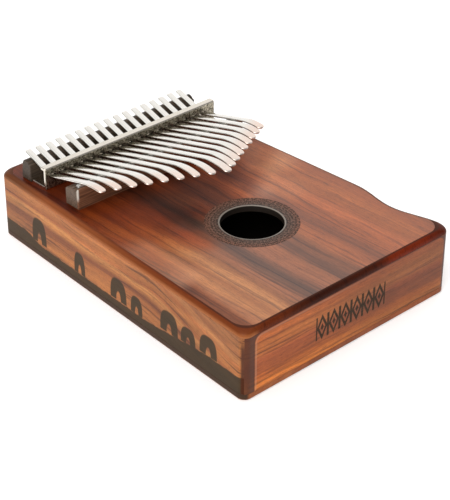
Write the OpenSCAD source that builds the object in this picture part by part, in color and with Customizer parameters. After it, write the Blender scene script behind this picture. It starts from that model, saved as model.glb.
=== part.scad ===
// Thumb piano (mbira) with a hollow wooden box and seventeen sprung steel tines.
// Millimetres. The origin is under the middle of the box, on the surface it rests on.
// +Z is up, +Y runs towards the tuning ends of the tines and -Y towards the player.

/* [Box] */
// Length of the box
body_len = 185; // [170:1:200]
// Width of the box at the player's end
front_w = 132; // [128:1:140]
// Width of the box at the tuning end
rear_w = 114; // [112:1:122]
// Thickness of the back board
back_t = 3; // [2:0.5:5]
// Height of the side walls between the two boards
rim_h = 29.5; // [24:0.5:34]
// Thickness of the soundboard
top_t = 3.2; // [2.4:0.2:4]
// Thickness of the side and end walls
wall_t = 6; // [4:0.5:8]
// Radius of the four upright corners
corner_r = 4; // [2.5:0.5:6]
// Width of the dark binding around the soundboard
binding_w = 2.4; // [1.6:0.2:3]
// Radius of the soundboard's corners, inside the binding
deck_corner_r = 8; // [4:0.5:10]

/* [Finger scallop] */
// Depth of the hollow in the right-hand side
scallop_depth = 4.4; // [1:0.2:5]
// Half the length of the hollow
scallop_half = 26; // [18:1:28]
// Position of the deepest point along the box
scallop_y = -62; // [-64:1:-50]

/* [Sound hole] */
// Inner radius of the pale ring that lines the sound hole
hole_r = 15.2; // [13:0.2:17]
// Width of the pale ring
ring_w = 0.9; // [0.8:0.1:1.6]
// Outer radius of the inlaid rosette
rosette_r = 22.6; // [20:0.2:25]
// Depth of the rosette inlay
rosette_t = 0.8; // [0.6:0.1:1.2]
// Position of the hole's centre along the box
hole_y = -27.7; // [-32:0.1:-24]

/* [Bridges] */
// Length of both wooden bridges across the box
bridge_len = 106.6; // [106:0.2:108]
// Front face of the front bridge
front_bridge_y = 35.3; // [34:0.1:36]
// Front-to-back depth of the front bridge
front_bridge_d = 9.6; // [8:0.1:10.5]
// Front face of the rear bridge
rear_bridge_y = 72.4; // [72.2:0.1:73]
// Front-to-back depth of the rear bridge
rear_bridge_d = 6.8; // [6.4:0.1:8]
// Radius of the steel rod on the front bridge
rod_r = 1.25; // [1.1:0.05:1.6]
// Length of the steel rod
rod_len = 103; // [101:0.5:106]

/* [Tine bracket] */
// Length of the steel bracket
bracket_len = 109.4; // [108.6:0.2:110.4]
// Offset of the bracket towards the right-hand side
bracket_shift = 1.9; // [0.9:0.1:2.1]
// Front face of the bracket's upright wall
bracket_y = 60.8; // [60.5:0.1:61]
// Height of the bracket above the soundboard
bracket_h = 11.5; // [11.3:0.1:13]
// Thickness of the bracket's sheet
sheet_t = 1.5; // [1.2:0.1:1.6]
// Depth of the stiffening flange along the top
top_flange_d = 3.6; // [3:0.1:3.8]
// Depth of the foot flange that is screwed down
foot_flange_d = 11.2; // [10:0.1:11.4]
// Width of each slot that a tine passes through
slot_w = 4.2; // [4:0.1:4.6]

/* [Tines] */
// Spacing of the tines
tine_pitch = 6.07; // [5.8:0.01:6.2]
// Width of a tine along its neck
neck_w = 3.5; // [2.8:0.1:3.7]
// Width of a tine at its flattened playing end
paddle_w = 4.3; // [3.8:0.1:4.6]
// Thickness of a tine
tine_t = 1; // [0.8:0.1:1.1]
// Position of the longest tine's playing end
longest_tip_y = -12.5; // [-13:0.5:-10]
// How much further back each tine to the left ends
left_step = 4.2; // [3.4:0.05:4.3]
// How much further back each tine to the right ends
right_step = 3.6; // [3.2:0.05:4.2]
// Upward slope of the playing part, in degrees
rise_angle = 14.3; // [13.5:0.1:14.5]
// Upward slope of the tuning end, in degrees
tail_angle = 18; // [16:0.5:18.5]
// Radius of the downward curve at the playing end
tip_bend_r = 33; // [30:1:36]
// Turn of the downward curve on the longest tine, in degrees
tip_bend = 32; // [28:1:32]

/* [Hidden] */
$fn = 64;
tine_count = 17;
middle_tine = 9;

body_h = back_t + rim_h + top_t;
deck_z = body_h;
rim_top = back_t + rim_h;
y_front = -body_len / 2;
y_rear = body_len / 2;

// The neutral line of a tine passes this height above the deck inside the bracket's slot.
vertex_y = bracket_y + sheet_t / 2;
vertex_z = deck_z + 6.7;
vertex_bend_r = 8;
tail_end_y = 80.3;

// The rod carries every tine, with a hair of running clearance.
rod_y = 37.6;
rod_gap = 0.03;
rod_z = line_z(rod_y) - (tine_t / 2 + rod_r + rod_gap) / cos(rise_angle);
groove_clearance = 0.03;

slot_z0 = vertex_z - 0.7;
slot_z1 = vertex_z + 2;

screw_tines = [1.5, 6.5, 11.5, 16.5];
screw_y = bracket_y + 6.2;
screw_r = 1.2;
screw_hole_r = 1.3;
screw_head_r = 2.3;
screw_head_h = 1.5;
screw_len = 11;

key_block_h = 10;
key_block_y0 = 57;
key_block_y1 = 81;
key_block_len = 96;

// ---- Outline of the box ----

// Half the width of the straight tapered box at a place along it
function half_w(y) = (front_w + (rear_w - front_w) * (y - y_front) / body_len) / 2;

// Depth of the scallop at a place along the box
function scallop(y) =
    let (t = (y - scallop_y) / scallop_half)
    abs(t) < 1 ? scallop_depth * (1 + cos(180 * t)) / 2 : 0;

// Points along the right-hand side, from the front to the rear, moved in by inset
function right_edge(inset, y0, y1) = concat(
    [[half_w(y0) - scallop(y0) - inset, y0]],
    [for (k = [0 : 24])
        let (y = scallop_y + scallop_half * (k / 12 - 1))
        if (y > y0 && y < y1) [half_w(y) - scallop(y) - inset, y]],
    [[half_w(y1) - inset, y1]]
);

// Points of a quarter circle that starts at angle a0
function quarter(cx, cy, r, a0) =
    [for (k = [0 : 6]) [cx + r * cos(a0 + 15 * k), cy + r * sin(a0 + 15 * k)]];

// Closed outline of the box, moved in by inset, with corners of radius r
function outline(inset, r) =
    let (
        y0 = y_front + inset + r,
        y1 = y_rear - inset - r,
        x0 = half_w(y0) - inset - r,
        x1 = half_w(y1) - inset - r
    )
    concat(
        quarter(-x0, y0, r, 180),
        quarter(x0 - scallop(y0), y0, r, 270),
        right_edge(inset, y0, y1),
        quarter(x1, y1, r, 0),
        quarter(-x1, y1, r, 90)
    );

// Strip outside the inner face of the left-hand wall
module left_strip() {
    polygon([
        [-half_w(y_front) + wall_t, y_front],
        [-half_w(y_rear) + wall_t, y_rear],
        [-front_w, y_rear],
        [-front_w, y_front]
    ]);
}

// Strip outside the inner face of the right-hand wall, which follows the scallop
module right_strip() {
    polygon(concat(
        right_edge(wall_t, y_front, y_rear),
        [[front_w, y_rear], [front_w, y_front]]
    ));
}

// Strip of the box that an end wall fills, from y0 to y1
module end_strip(y0, y1) {
    translate([-front_w, y0])
        square([2 * front_w, y1 - y0]);
}

// ---- Box ----

module back_board() {
    color("#7a4526")
        linear_extrude(back_t)
            polygon(outline(0, corner_r));
}

module rim_part() {
    translate([0, 0, back_t])
        linear_extrude(rim_h)
            intersection() {
                polygon(outline(0, corner_r));
                children();
            }
}

module left_side() {
    color("#b8743c")
        rim_part()
            left_strip();
}

module right_side() {
    color("#b8743c")
        rim_part()
            right_strip();
}

module end_wall(y0, y1) {
    rim_part()
        difference() {
            end_strip(y0, y1);
            left_strip();
            right_strip();
        }
}

module front_end() {
    color("#a05a34")
        end_wall(y_front, y_front + wall_t);
}

module rear_end() {
    color("#a05a34")
        end_wall(y_rear - wall_t, y_rear);
}

// Hardwood block glued under the soundboard, which takes the bracket's screws
module key_block() {
    color("#9c7a50")
        difference() {
            translate([-key_block_len / 2, key_block_y0, rim_top - key_block_h])
                cube([key_block_len, key_block_y1 - key_block_y0, key_block_h]);
            screw_holes(screw_hole_r);
        }
}

module soundboard() {
    color("#8a4a2c")
        difference() {
            translate([0, 0, rim_top])
                linear_extrude(top_t)
                    polygon(outline(binding_w, deck_corner_r));
            translate([0, hole_y, rim_top - 1])
                cylinder(h = top_t + 2, r = hole_r + ring_w);
            translate([0, hole_y, deck_z - rosette_t])
                cylinder(h = rosette_t + 1, r = rosette_r);
            screw_holes(screw_hole_r);
        }
}

module edge_binding() {
    color("#4a2416")
        translate([0, 0, rim_top])
            linear_extrude(top_t)
                difference() {
                    polygon(outline(0, corner_r));
                    polygon(outline(binding_w, deck_corner_r));
                }
}

module ring(r0, r1, h) {
    difference() {
        cylinder(h = h, r = r1);
        translate([0, 0, -1])
            cylinder(h = h + 2, r = r0);
    }
}

module rosette() {
    color("#3f332c")
        translate([0, hole_y, deck_z - rosette_t])
            ring(hole_r + ring_w, rosette_r, rosette_t);
}

module sound_hole_ring() {
    color("#a39a8c")
        translate([0, hole_y, rim_top])
            ring(hole_r, hole_r + ring_w, top_t);
}

// ---- Bridges ----

// A solid with the given outline in Y and Z, centred on X
module bar_along_x(length, points) {
    translate([-length / 2, 0, 0])
        rotate([90, 0, 90])
            linear_extrude(length)
                polygon(points);
}

module front_bridge() {
    y0 = front_bridge_y;
    y1 = y0 + front_bridge_d;
    color("#4b4138")
        difference() {
            bar_along_x(bridge_len, [
                [y0, deck_z],
                [y1, deck_z],
                [y1, deck_z + 8.4],
                [y1 - 0.8, deck_z + 9.2],
                [y0 + 0.9, deck_z + 11],
                [y0, deck_z + 10.2]
            ]);
            translate([-bridge_len, rod_y, rod_z])
                rotate([0, 90, 0])
                    cylinder(h = 2 * bridge_len, r = rod_r + groove_clearance);
        }
}

module front_rod() {
    color("#d9d9d6")
        translate([-rod_len / 2, rod_y, rod_z])
            rotate([0, 90, 0])
                cylinder(h = rod_len, r = rod_r);
}

// The rounded ridge sits just under the tuning ends
module rear_bridge() {
    y0 = rear_bridge_y;
    y1 = y0 + rear_bridge_d;
    ridge_r = 2.6;
    ridge_y = y1 - ridge_r - 0.6;
    ridge_z = line_z(ridge_y) - (tine_t / 2 + ridge_r + 0.1) / cos(tail_angle);
    color("#453c34")
        bar_along_x(bridge_len, concat(
            [[y0, deck_z], [y1, deck_z], [y1, ridge_z - 3]],
            [for (a = [10 : 20 : 150])
                [ridge_y + ridge_r * cos(a), ridge_z + ridge_r * sin(a)]],
            [[y0, ridge_z + 0.6]]
        ));
}

// ---- Bracket ----

module tine_bracket() {
    y0 = bracket_y;
    z0 = deck_z;
    z1 = deck_z + bracket_h;
    t = sheet_t;
    bend = 0.8;
    color("#b9b6ae")
        difference() {
            translate([bracket_shift, 0, 0])
                bar_along_x(bracket_len, concat(
                    [[y0 + foot_flange_d, z0], [y0 + foot_flange_d, z0 + t], [y0 + t, z0 + t]],
                    [[y0 + t, z1 - t], [y0 + top_flange_d, z1 - t], [y0 + top_flange_d, z1]],
                    [for (a = [90 : 15 : 180])
                        [y0 + bend + bend * cos(a), z1 - bend + bend * sin(a)]],
                    [for (a = [180 : 15 : 270])
                        [y0 + bend + bend * cos(a), z0 + bend + bend * sin(a)]]
                ));
            for (i = [1 : tine_count])
                translate([tine_x(i) - slot_w / 2, y0 - 1, slot_z0])
                    cube([slot_w, t + 2, slot_z1 - slot_z0]);
            screw_holes(screw_hole_r);
        }
}

// Holes for the bracket's screws, from above the foot flange into the block
module screw_holes(r) {
    for (i = screw_tines)
        translate([tine_x(i), screw_y, deck_z + sheet_t + 0.5 - screw_len - 1])
            cylinder(h = screw_len + 1, r = r);
}

module screw() {
    translate([0, 0, -screw_len + 2])
        cylinder(h = screw_len - 2, r = screw_r);
    intersection() {
        cylinder(h = screw_head_h, r = screw_head_r);
        translate([0, 0, screw_head_h - 2.6])
            sphere(r = 2.6);
    }
}

module bracket_screws() {
    color("#8f8c86")
        for (i = screw_tines)
            translate([tine_x(i), screw_y, deck_z + sheet_t])
                screw();
}

// ---- Tines ----

function tine_name(i) = str("tine_", i < 10 ? "0" : "", i);

// Place of a tine across the box, counted from the left
function tine_x(i) = (i - middle_tine) * tine_pitch;

// Where the playing end of a tine stops
function tip_y(i) =
    longest_tip_y + (i < middle_tine ? (middle_tine - i) * left_step : (i - middle_tine) * right_step);

// Turn of the tip's downward curve, which is a little less on the short outer tines
function tip_turn(i) = tip_bend - abs(i - middle_tine);

// Height of the straight parts of a tine's neutral line
function line_z(y) =
    y < vertex_y
        ? vertex_z + (vertex_y - y) * tan(rise_angle)
        : vertex_z + (y - vertex_y) * tan(tail_angle);

// Neutral line of a tine as [y, z, slope], from the tuning end to the playing end.
// The slope is the angle of the tangent, seen with the playing end to the left.
function neutral_line(i) =
    let (
        turn = tip_turn(i),
        r = tip_bend_r,
        arc_dy = r * (sin(rise_angle) + sin(turn - rise_angle)),
        ys = tip_y(i) + arc_dy,
        cy = ys - r * sin(rise_angle),
        cz = line_z(ys) - r * cos(rise_angle),
        bend = tail_angle + rise_angle,
        set_back = vertex_bend_r * tan(bend / 2),
        vy = vertex_y + set_back * cos(tail_angle),
        vz = vertex_z + set_back * sin(tail_angle),
        by = vy - vertex_bend_r * sin(tail_angle),
        bz = vz + vertex_bend_r * cos(tail_angle)
    )
    concat(
        [[tail_end_y, line_z(tail_end_y), -tail_angle]],
        [for (k = [0 : 6])
            let (a = -tail_angle + bend * k / 6)
            [by - vertex_bend_r * sin(a), bz - vertex_bend_r * cos(a), a]],
        [for (k = [0 : 8])
            let (a = rise_angle - turn * k / 8)
            [cy + r * sin(a), cz + r * cos(a), a]]
    );

// A point beside the neutral line, off by d
function beside(p, d) = [p[0] + d * sin(p[2]), p[1] + d * cos(p[2])];

// Side view of a tine
module tine_profile(i) {
    line = neutral_line(i);
    n = len(line);
    polygon(concat(
        [for (p = line) beside(p, tine_t / 2)],
        [for (k = [n - 1 : -1 : 0]) beside(line[k], -tine_t / 2)]
    ));
}

// Top view of a tine: a straight neck, a gentle taper and a wider round-ended paddle
module tine_plan(i) {
    y = tip_y(i);
    r = paddle_w / 2;
    n = neck_w / 2;
    e = 0.6;
    right = concat(
        [for (a = [-90 : 15 : 0]) [r * cos(a), y + r + r * sin(a)]],
        [[r, y + 8], [(r + n) / 2 + 0.1, y + 12], [n, y + 16]],
        [[n, tail_end_y - e], [n - e, tail_end_y + 1]]
    );
    polygon(concat(right, [for (k = [len(right) - 1 : -1 : 1]) [-right[k][0], right[k][1]]]));
}

module tine(i) {
    color("#dedbd4")
        translate([tine_x(i), 0, 0])
            intersection() {
                translate([-paddle_w, 0, 0])
                    rotate([90, 0, 90])
                        linear_extrude(2 * paddle_w)
                            tine_profile(i);
                linear_extrude(2 * body_h)
                    tine_plan(i);
            }
}

back_board();
left_side();
right_side();
front_end();
rear_end();
key_block();
soundboard();
edge_binding();
rosette();
sound_hole_ring();
front_bridge();
front_rod();
rear_bridge();
tine_bracket();
bracket_screws();
for (i = [1 : tine_count])
    tine(i);
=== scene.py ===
"""Looks of a thumb piano: a tapered wooden box with a sound hole and seventeen steel tines."""

import math

import bpy
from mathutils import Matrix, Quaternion, Vector


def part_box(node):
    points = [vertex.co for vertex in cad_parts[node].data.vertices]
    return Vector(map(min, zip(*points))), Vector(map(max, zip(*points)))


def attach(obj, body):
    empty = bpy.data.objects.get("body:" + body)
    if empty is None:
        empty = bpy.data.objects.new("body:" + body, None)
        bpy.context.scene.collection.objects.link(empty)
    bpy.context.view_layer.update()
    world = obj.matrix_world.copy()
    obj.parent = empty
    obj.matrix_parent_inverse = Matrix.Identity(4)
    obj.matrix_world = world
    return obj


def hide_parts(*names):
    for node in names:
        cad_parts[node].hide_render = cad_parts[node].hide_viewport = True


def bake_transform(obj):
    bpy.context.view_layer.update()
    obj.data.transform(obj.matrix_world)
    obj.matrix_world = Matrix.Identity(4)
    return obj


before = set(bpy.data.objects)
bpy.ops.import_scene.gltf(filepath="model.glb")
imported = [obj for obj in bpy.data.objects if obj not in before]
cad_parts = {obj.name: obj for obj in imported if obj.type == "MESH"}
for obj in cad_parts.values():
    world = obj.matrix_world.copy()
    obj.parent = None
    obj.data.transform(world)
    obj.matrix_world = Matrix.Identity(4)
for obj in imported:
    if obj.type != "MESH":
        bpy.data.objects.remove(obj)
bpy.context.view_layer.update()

MM = 0.001
BODY = "body"

# Edges that turn by more than this are left sharp
SHARP_DEG = 32

# ---- sizes in millimetres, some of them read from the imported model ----


def box_mm(node):
    low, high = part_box(node)
    return [v / MM for v in low], [v / MM for v in high]


RIM_LOW, RIM_HIGH = box_mm("left_side")
DECK = box_mm("soundboard")[1][2]
RIM_BASE, RIM_TOP = RIM_LOW[2], RIM_HIGH[2]
Y_FRONT, Y_REAR = RIM_LOW[1], RIM_HIGH[1]
BODY_LEN = Y_REAR - Y_FRONT

# The plan of the box, as the CAD model has it
FRONT_W, REAR_W = 132.0, 114.0
MIDDLE_HALF_W = (FRONT_W + REAR_W) / 4
TAPER = (FRONT_W - REAR_W) / 2 / BODY_LEN
CORNER_R = 4.0
WALL_T = 6.0
BINDING_W = 2.4
DECK_CORNER_R = 8.0
SCALLOP_DEPTH, SCALLOP_HALF, SCALLOP_Y = 4.4, 26.0, -62.0

# How far the edges of the box's parts are eased
EASE = 0.12

# The sound hole, its ring and its rosette
HOLE_Y = -27.7
HOLE_R, RING_R, ROSETTE_R = 15.2, 16.1, 22.6

# The tines
TINE_COUNT, MIDDLE_TINE = 17, 9
TINES = range(1, TINE_COUNT + 1)
TINE_PITCH = 6.07
TINE_T = 1.0
NECK_W, PADDLE_W = 3.5, 4.3
LONGEST_TIP_Y, LEFT_STEP, RIGHT_STEP = -12.5, 4.2, 3.6
RISE, TAIL = math.radians(14.3), math.radians(18.0)
TIP_BEND_R, TIP_BEND_DEG = 33.0, 32
VERTEX_Y, VERTEX_Z, VERTEX_R = 61.55, DECK + 6.7, 8.0
TAIL_END_Y = 80.3

# The rod and the bracket
ROD_Y, ROD_R, ROD_LEN, ROD_GAP = 37.6, 1.25, 103.0, 0.03
BRIDGE_LEN = 106.6
BRACKET_LEN, BRACKET_SHIFT = 109.4, 1.9
BRACKET_Y, BRACKET_H, SHEET = 60.8, 11.5, 1.5
SLOT_W = 4.2
SCREW_PLACES = (1.5, 6.5, 11.5, 16.5)
SCREW_Y = BRACKET_Y + 6.2

# ---- colours, linear ----

BURNT, BURNT_LIGHT = (0.024, 0.017, 0.010), (0.077, 0.054, 0.033)
DARK_EDGE, DARK_EDGE_LIGHT = (0.050, 0.014, 0.006), (0.080, 0.020, 0.007)
# A painted highlight along the edge of an end wall's panel
PAINTED_PANEL_HIGHLIGHT = (0.52, 0.25, 0.14)
BACK_EDGE = (0.30, 0.085, 0.030)
JOINT_LINE = (0.050, 0.013, 0.005)
# A painted highlight down the front bridge's near left corner
PAINTED_CORNER_HIGHLIGHT = (0.50, 0.45, 0.39)

# The bracket, the painted dark reflection on its upright web, and the painted reflection of that web in
# the tines just in front of it
BRACKET_DARK, BRACKET_LIGHT = (0.70, 0.64, 0.555), (0.89, 0.82, 0.72)
PAINTED_WEB_REFLECTION_DARK, PAINTED_WEB_REFLECTION_LIGHT = (0.082, 0.072, 0.050), (0.60, 0.54, 0.42)
PAINTED_WEB_REFLECTION_ON_TINES = (0.13, 0.12, 0.095)

# Factors on the colour of wood (among them painted shade under the tines and between the bridges, and the
# tint under the painted sheen), and of the tines' playing ends (a painted reflection of the wood)
DARK_STREAK, GOLD_STREAK = (0.36, 0.33, 0.36), (1.40, 1.50, 1.45)
PAINTED_TINE_SHADE = (0.76, 0.48, 0.36)
SHEEN_GAIN_LEFT, SHEEN_GAIN_RIGHT = (1.13, 1.13, 1.10), (1.10, 0.99, 0.72)
EDGE_STREAK, RUSSET, PAINTED_BRIDGE_SHADE = (0.58, 0.42, 0.34), (0.60, 0.46, 0.36), (0.42, 0.26, 0.22)
SIDE_GAIN = (1.25, 1.37, 1.32)
END_GAIN_LEFT, END_GAIN_RIGHT = (2.00, 1.94, 1.40), (1.05, 1.06, 1.00)
ROUND_PALER, ROUND_FAR = (1.42, 1.80, 2.30), (0.58, 0.68, 0.85)
BACK_BURNT = (0.72, 0.60, 0.56)
BRIDGE_FACE = (1.60, 1.08, 0.86)
PAINTED_WOOD_REFLECTION = (1.0, 0.84, 0.78)

# Light added to the soundboard's colour
PAINTED_SHEEN, PAINTED_GLARE = (0.052, 0.048, 0.047), (0.095, 0.064, 0.042)

# Colour across the soundboard, from its left edge to its right, as millimetres and colour
TOP_BANDS = (
    (-64, (0.270, 0.088, 0.026)),
    (-56, (0.310, 0.098, 0.028)),
    (-50, (0.390, 0.140, 0.040)),
    (-46, (0.300, 0.096, 0.024)),
    (-40, (0.410, 0.155, 0.048)),
    (-35, (0.245, 0.078, 0.022)),
    (-30, (0.250, 0.080, 0.030)),
    (-24, (0.112, 0.039, 0.018)),
    (-20, (0.090, 0.033, 0.017)),
    (-14, (0.245, 0.078, 0.032)),
    (-9, (0.250, 0.078, 0.030)),
    (-1, (0.115, 0.038, 0.018)),
    (6, (0.190, 0.060, 0.024)),
    (13, (0.310, 0.088, 0.029)),
    (22, (0.165, 0.046, 0.018)),
    (30, (0.290, 0.076, 0.021)),
    (36, (0.350, 0.094, 0.030)),
    (44, (0.270, 0.074, 0.018)),
    (50, (0.310, 0.088, 0.024)),
    (57, (0.250, 0.066, 0.020)),
    (64, (0.200, 0.056, 0.018)),
)

# Darker and paler figure of the soundboard: middle in x and y, reach, and factor on the colour
TOP_PATCHES = (
    (-16.5, -6.5, 15.0, (0.50, 0.38, 0.26)),
    (-29.0, -21.0, 14.0, (1.12, 0.74, 0.52)),
    (21.0, -4.0, 13.0, (1.60, 1.75, 1.75)),
    (33.5, -14.0, 15.0, (1.14, 1.28, 1.30)),
    (50.0, 19.0, 22.0, (1.56, 1.98, 1.98)),
    (36.0, 5.0, 11.0, (1.20, 1.42, 1.40)),
    (-14.0, 11.0, 14.0, (0.64, 0.76, 0.76)),
    (-35.0, 13.0, 21.0, (0.93, 0.76, 0.52)),
    (-23.0, 2.0, 12.0, (1.05, 0.94, 0.68)),
    (-41.0, -22.0, 13.0, (1.16, 1.30, 1.22)),
    (-55.0, 16.0, 14.0, (1.20, 1.30, 1.12)),
)

# Colour up the side walls
SIDE_BANDS = (
    (0, (0.281, 0.086, 0.023)),
    (12, (0.304, 0.094, 0.024)),
    (15, (0.269, 0.077, 0.019)),
    (17.5, (0.167, 0.044, 0.012)),
    (19, (0.180, 0.046, 0.013)),
    (22, (0.340, 0.112, 0.031)),
    (24, (0.387, 0.139, 0.040)),
    (26, (0.302, 0.082, 0.022)),
    (28, (0.349, 0.105, 0.027)),
    (30.5, (0.384, 0.123, 0.033)),
    (33, (0.375, 0.107, 0.030)),
    (36, (0.430, 0.150, 0.048)),
    (40, (0.300, 0.092, 0.030)),
    (44, (0.400, 0.136, 0.044)),
    (50, (0.330, 0.105, 0.034)),
)

# Colour up the end walls
END_BANDS = (
    (0, (0.320, 0.082, 0.018)),
    (4.5, (0.400, 0.112, 0.018)),
    (8.5, (0.310, 0.076, 0.014)),
    (12, (0.210, 0.048, 0.013)),
    (15.5, (0.175, 0.039, 0.012)),
    (18, (0.205, 0.047, 0.015)),
    (21, (0.290, 0.078, 0.021)),
    (24.5, (0.330, 0.090, 0.023)),
    (28, (0.270, 0.070, 0.018)),
    (31, (0.235, 0.062, 0.018)),
)

# Colour up the binding's rounded edge, along the sides and the rear of the box
ROUND_BANDS = (
    (32.4, (0.390, 0.140, 0.052)),
    (33.5, (0.275, 0.082, 0.024)),
    (34.6, (0.155, 0.035, 0.008)),
    (35.7, (0.138, 0.027, 0.006)),
)

# Colour across the binding, along the front of the box
BINDING_BANDS = (
    (-66, (0.176, 0.036, 0.008)),
    (-50, (0.115, 0.020, 0.004)),
    (-20, (0.032, 0.006, 0.002)),
    (15, (0.049, 0.008, 0.002)),
    (30, (0.155, 0.016, 0.002)),
    (48, (0.149, 0.015, 0.002)),
    (60, (0.081, 0.010, 0.002)),
)

# Factors on a side wall's colour, by height, for its lighter and darker stripes
SIDE_STRIPES = (
    (10, (0.90, 0.90, 0.90)),
    (17, (0.94, 0.94, 0.94)),
    (21, (0.80, 0.80, 0.80)),
    (24.5, (0.98, 0.99, 0.98)),
    (28, (0.70, 0.68, 0.66)),
    (31, (0.76, 0.74, 0.72)),
    (33, (0.72, 0.68, 0.66)),
)

# The same for an end wall
END_STRIPES = (
    (2, (0.81, 0.86, 0.77)),
    (5, (0.87, 0.89, 0.92)),
    (8, (0.88, 0.88, 0.85)),
    (12, (0.86, 0.88, 0.84)),
    (15, (0.93, 0.96, 0.89)),
    (18.5, (1.00, 1.00, 0.97)),
    (22.5, (0.79, 0.84, 0.85)),
    (26, (0.70, 0.73, 0.75)),
    (29, (0.93, 0.90, 0.87)),
    (31, (0.97, 0.87, 0.77)),
    (32.4, (0.97, 0.73, 0.55)),
)

# Arches burnt into the left wall: middle in y, half width, height of the top and of the base
ARCHES = (
    (61.0, 6.0, 22.0, 8.4),
    (27.5, 4.4, 18.6, 7.0),
    (-3.2, 6.2, 19.2, 7.4),
    (-17.0, 4.4, 16.4, 7.0),
    (-41.0, 6.4, 20.6, 9.2),
    (-54.6, 5.2, 19.0, 10.2),
    (-68.6, 6.0, 22.0, 11.8),
)

WALL_SPECULAR = 0.22

# The noise that counts as a pore, from its rim to its bottom
PORE_START, PORE_END = 0.58, 0.72

# ---- shader building ----


class Shader:
    """A node material with short names for the nodes it needs. Lengths are in millimetres."""

    def __init__(self, name, roughness=0.4, metallic=0.0, specular=0.5):
        self.material = bpy.data.materials.new(name)
        self.material.use_nodes = True
        self.tree = self.material.node_tree
        self.bsdf = self.tree.nodes["Principled BSDF"]
        self.roughness(roughness)
        self.specular(specular)
        self.bsdf.inputs["Metallic"].default_value = metallic
        scale = self.node("VectorMath", operation="SCALE")
        scale.inputs["Scale"].default_value = 1 / MM
        self.link(self.node("TexCoord").outputs["Object"], scale.inputs[0])
        split = self.node("SeparateXYZ")
        self.link(scale.outputs[0], split.inputs[0])
        self.x, self.y, self.z = split.outputs

    def node(self, kind, **settings):
        node = self.tree.nodes.new("ShaderNode" + kind)
        for name, value in settings.items():
            setattr(node, name, value)
        return node

    def link(self, source, target):
        """Feeds a socket from another socket, a number or a tuple."""
        if isinstance(source, (int, float)):
            target.default_value = source
        elif isinstance(source, tuple):
            target.default_value = (*source, 1.0) if len(target.default_value) == 4 else source
        else:
            self.tree.links.new(source, target)

    # The surface

    def colour(self, source):
        self.link(source, self.bsdf.inputs["Base Color"])

    def roughness(self, source):
        self.link(source, self.bsdf.inputs["Roughness"])

    def specular(self, source):
        self.link(source, self.bsdf.inputs["Specular IOR Level"])

    def bump(self, height, strength, distance_mm):
        node = self.node("Bump")
        node.inputs["Strength"].default_value = strength
        node.inputs["Distance"].default_value = distance_mm * MM
        self.link(height, node.inputs["Height"])
        self.link(node.outputs[0], self.bsdf.inputs["Normal"])

    # Numbers

    def math(self, operation, a, b=0.0):
        node = self.node("Math", operation=operation)
        self.link(a, node.inputs[0])
        self.link(b, node.inputs[1])
        return node.outputs[0]

    def add(self, a, b):
        return self.math("ADD", a, b)

    def sub(self, a, b):
        return self.math("SUBTRACT", a, b)

    def mul(self, a, b):
        return self.math("MULTIPLY", a, b)

    def div(self, a, b):
        return self.math("DIVIDE", a, b)

    def high(self, a, b):
        return self.math("MAXIMUM", a, b)

    def size(self, a):
        return self.math("ABSOLUTE", a)

    def hypot(self, a, b):
        return self.math("SQRT", self.add(self.mul(a, a), self.mul(b, b)))

    def every(self, *masks):
        """The product of some masks: 1 only where each of them is 1."""
        result = masks[0]
        for mask in masks[1:]:
            result = self.mul(result, mask)
        return result

    def ramp(self, value, start, end):
        """0 at start, 1 at end, smooth between; start may be the larger."""
        node = self.node("MapRange", interpolation_type="SMOOTHSTEP")
        for source, name in ((value, "Value"), (start, "From Min"), (end, "From Max")):
            self.link(source, node.inputs[name])
        return node.outputs["Result"]

    def between(self, fraction, start, end):
        """start where fraction is 0, end where it is 1."""
        return self.add(start, self.mul(fraction, end - start))

    # Noise, from 0 to 1

    def combine(self, a, b, c):
        node = self.node("CombineXYZ")
        for value, socket in zip((a, b, c), node.inputs):
            self.link(value, socket)
        return node.outputs[0]

    def noise(self, place, detail=3.0, rough=0.55):
        node = self.node("TexNoise")
        self.link(place, node.inputs["Vector"])
        node.inputs["Scale"].default_value = 1.0
        node.inputs["Detail"].default_value = detail
        node.inputs["Roughness"].default_value = rough
        return node.outputs["Fac"]

    def marks(self, scales, detail=3.0, rough=0.55, axes=None):
        """Noise at a scale along each axis. A small scale makes long marks that way."""
        pairs = zip(axes or (self.x, self.y, self.z), scales)
        return self.noise(self.combine(*(self.mul(axis, scale) for axis, scale in pairs)), detail, rough)

    def along_y(self, scale):
        """Noise that changes along y only."""
        return self.noise(self.combine(self.mul(self.y, scale), 0.0, 0.0), 2.0)

    # Colours

    def mix(self, factor, a, b, blend="MIX"):
        node = self.node("Mix", data_type="RGBA", blend_type=blend)
        self.link(factor, node.inputs[0])
        self.link(a, node.inputs[6])
        self.link(b, node.inputs[7])
        return node.outputs[2]

    def multiply(self, colour, factor):
        return self.mix(1.0, colour, factor, "MULTIPLY")

    def tinted(self, mask, colour, factor):
        """The colour, times factor where mask is 1."""
        return self.mix(mask, colour, self.multiply(colour, factor))

    def toned(self, colour, tone):
        """The colour, times one number."""
        return self.multiply(colour, self.combine(tone, tone, tone))

    def bands(self, value, stops):
        """A colour ramp over value, with stops of (millimetres, colour)."""
        first, last = stops[0][0], stops[-1][0]
        node = self.node("ValToRGB")
        node.color_ramp.interpolation = "EASE"
        elements = node.color_ramp.elements
        while len(elements) > 1:
            elements.remove(elements[-1])
        for k, (at, colour) in enumerate(stops):
            position = (at - first) / (last - first)
            element = elements[0] if k == 0 else elements.new(position)
            element.position = position
            element.color = (*colour, 1.0)
        self.link(self.div(self.sub(value, first), last - first), node.inputs[0])
        return node.outputs[0]


# ---- wood ----


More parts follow.
